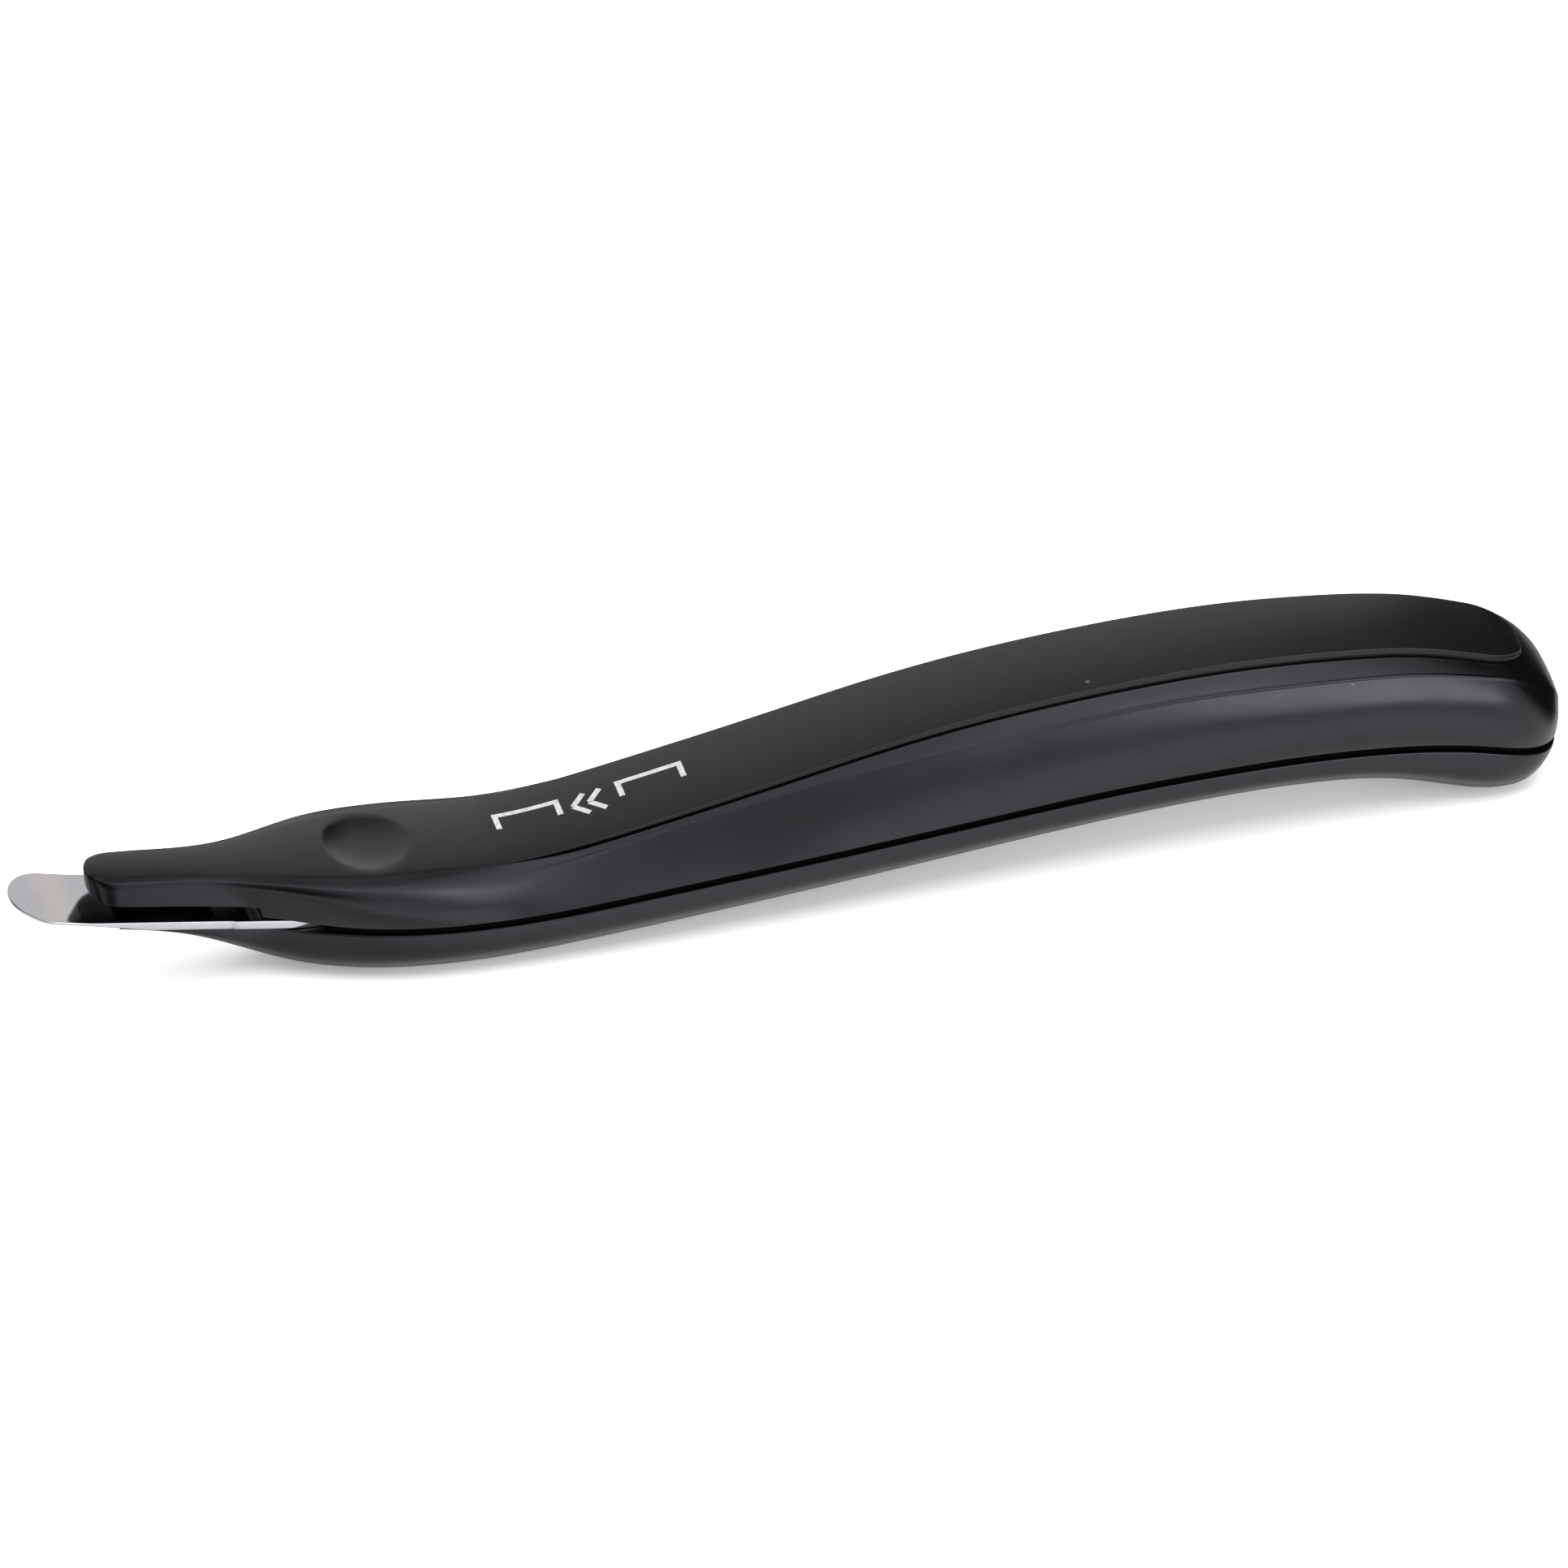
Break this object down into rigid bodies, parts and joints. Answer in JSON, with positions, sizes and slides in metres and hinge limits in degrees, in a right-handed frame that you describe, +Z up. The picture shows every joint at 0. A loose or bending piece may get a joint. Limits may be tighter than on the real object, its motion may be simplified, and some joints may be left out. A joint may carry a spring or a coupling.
{
  "type": "staple remover",
  "caption": "Slim wand staple remover: a steel blade under a rounded nose, held in a curved, split-shell plastic handle with a finger dimple and an inlaid top strip.",
  "frame": {"origin": "on the table plane under the middle of the object's length, as it rests on its belly and its tail bump", "axes": "+X from the blade's tip towards the tail, +Y across the handle, +Z up"},
  "size_m": [0.1712, 0.0198, 0.0233],
  "materials": {
    "shell_plastic": "semi-gloss moulded charcoal plastic with a faint grain",
    "strip_plastic": "satin moulded black plastic, a little duller than the shells",
    "frame_plastic": "flat black plastic",
    "blade_steel": "polished spring steel with ground edges",
    "magnet_metal": "plated magnet",
    "screw_steel": "zinc-plated steel"
  },
  "bodies": {
    "root": {"upper_shell": "shell_plastic", "lower_shell": "shell_plastic", "top_strip": "strip_plastic", "seam_frame": "frame_plastic", "blade": "blade_steel", "magnet_cover": "frame_plastic", "nose_magnet": "magnet_metal", "blade_screw_front": "screw_steel", "blade_screw_rear": "screw_steel", "case_screw_front": "screw_steel", "case_screw_rear": "screw_steel"}
  },
  "joints": []
}
